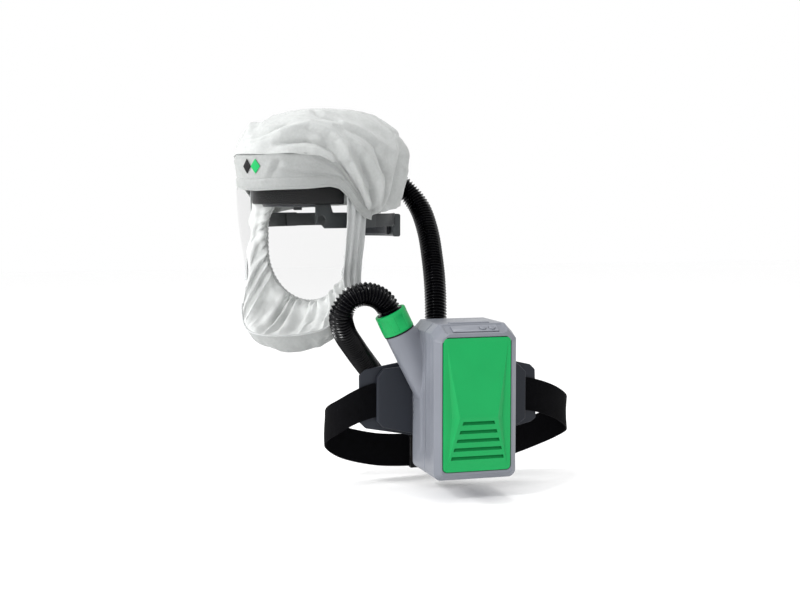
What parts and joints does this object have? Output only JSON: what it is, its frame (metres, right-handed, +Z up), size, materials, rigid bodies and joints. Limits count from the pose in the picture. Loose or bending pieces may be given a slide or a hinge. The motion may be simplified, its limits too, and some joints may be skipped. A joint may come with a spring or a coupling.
{
  "type": "powered air respirator",
  "caption": "Belt-worn filter and blower unit with a corrugated breathing hose to a loose cloth hood with clear visor, chin bag and ratchet headband.",
  "frame": {"origin": "middle of the lumbar pad's wearer-side face, where the belt holds the unit against the wearer's back", "axes": "+X right as the unit's cover is faced, +Y towards the wearer's back, +Z up"},
  "size_m": [0.5352, 0.3641, 0.5582],
  "materials": {
    "grey_shell": "satin grey moulding",
    "green_shell": "satin green moulding",
    "slate_shell": "fine textured dark moulding",
    "panel_glass": "gloss display window",
    "webbing": "woven nylon",
    "hose_rubber": "semi-gloss corrugated",
    "hood_cloth": "coated non-woven",
    "visor_film": "clear film",
    "black_plastic": "satin black",
    "band_plastic": "satin dark grey",
    "ratchet_plastic": "satin grey",
    "foam": "foam",
    "filter_media": "paper",
    "board": "solder mask",
    "steel": "plated"
  },
  "bodies": {
    "unit": {"back_plate": "slate_shell", "belt_left": "webbing", "belt_panel": "slate_shell", "belt_right": "webbing", "belt_slider": "black_plastic", "blower_scroll": "black_plastic", "breathing_hose": "hose_rubber", "buckle_female": "black_plastic", "circuit_board": "board", "control_panel": "panel_glass", "filter_seat": "black_plastic", "front_housing": "grey_shell", "hose_cuff_hood": "hose_rubber", "hose_cuff_unit": "hose_rubber", "housing_screw_1": "steel", "housing_screw_2": "steel", "housing_screw_3": "steel", "housing_screw_4": "steel", "lumbar_pad": "foam", "motor": "steel", "mounting_bracket": "black_plastic", "outlet_seal": "hose_rubber", "rear_housing": "grey_shell"},
    "filter_door": {"filter_cover": "green_shell", "prefilter": "filter_media", "hepa_filter": "filter_media", "filter_seal": "hose_rubber"},
    "battery": {"battery_pack": "slate_shell"},
    "latch": {"battery_latch": "green_shell"},
    "power_key": {"power_button": "green_shell"},
    "speed_key": {"speed_button": "green_shell"},
    "collar": {"hose_collar": "green_shell"},
    "rotor": {"impeller": "black_plastic", "motor_shaft": "steel"},
    "buckle_tongue": {"buckle_male": "black_plastic"},
    "hood": {"hood_crown": "hood_cloth", "brow_band": "hood_cloth", "visor_lens": "visor_film", "visor_edge_left": "hood_cloth", "visor_edge_right": "hood_cloth", "face_seal": "hood_cloth", "chin_bag": "hood_cloth", "face_elastic": "hood_cloth", "brow_duct": "black_plastic", "brow_pad": "foam", "side_arm_left": "band_plastic", "side_arm_right": "band_plastic", "crown_strap": "band_plastic", "overhead_duct": "black_plastic", "hood_inlet": "black_plastic"},
    "rear_band": {"band_left": "band_plastic", "band_right": "band_plastic", "ratchet_housing": "ratchet_plastic", "nape_pad": "foam", "nape_strap": "band_plastic"},
    "knob": {"ratchet_knob": "black_plastic"}
  },
  "joints": [
    {"name": "cover_pull", "type": "slide", "parent": "unit", "child": "filter_door", "axis": [0, -1, 0], "range_m": [0, 0.06]},
    {"name": "battery_slide", "type": "slide", "parent": "unit", "child": "battery", "axis": [1, 0, 0], "range_m": [0, 0.05]},
    {"name": "latch_press", "type": "slide", "parent": "unit", "child": "latch", "axis": [-1, 0, 0], "range_m": [0, 0.0025], "stiffness_N_per_m": 800},
    {"name": "power_press", "type": "slide", "parent": "unit", "child": "power_key", "axis": [0, 0.4327, -0.9015], "range_m": [0, 0.0012], "stiffness_N_per_m": 800},
    {"name": "speed_press", "type": "slide", "parent": "unit", "child": "speed_key", "axis": [0, 0.4327, -0.9015], "range_m": [0, 0.0012], "stiffness_N_per_m": 800},
    {"name": "collar_turn", "type": "hinge", "parent": "unit", "child": "collar", "pos_m": [-0.089, -0.053, 0.0995], "axis": [-0.4388, 0, 0.8986], "range_deg": [0, 45]},
    {"name": "rotor_spin", "type": "hinge", "parent": "unit", "child": "rotor", "pos_m": [0.004, -0.07, 0.03], "axis": [0, 1, 0], "continuous": true},
    {"name": "buckle_pull", "type": "slide", "parent": "unit", "child": "buckle_tongue", "axis": [1, 0, 0], "range_m": [0, 0.032]},
    {"name": "hood_swivel", "type": "hinge", "parent": "unit", "child": "hood", "pos_m": [-0.06067, 0.16376, 0.3487], "axis": [0.6975, 0.5133, -0.5], "range_deg": [0, 25]},
    {"name": "headband_slide", "type": "slide", "parent": "hood", "child": "rear_band", "axis": [-0.8054, -0.5927, 0], "range_m": [0, 0.018]},
    {"name": "knob_turn", "type": "hinge", "parent": "rear_band", "child": "knob", "pos_m": [-0.04134, 0.17798, 0.2477], "axis": [0.8054, 0.5927, 0], "range_deg": [0, 360]}
  ],
  "couplings": [
    {"joint": "knob_turn", "follows": "headband_slide", "rad_per_m": 348.97}
  ]
}
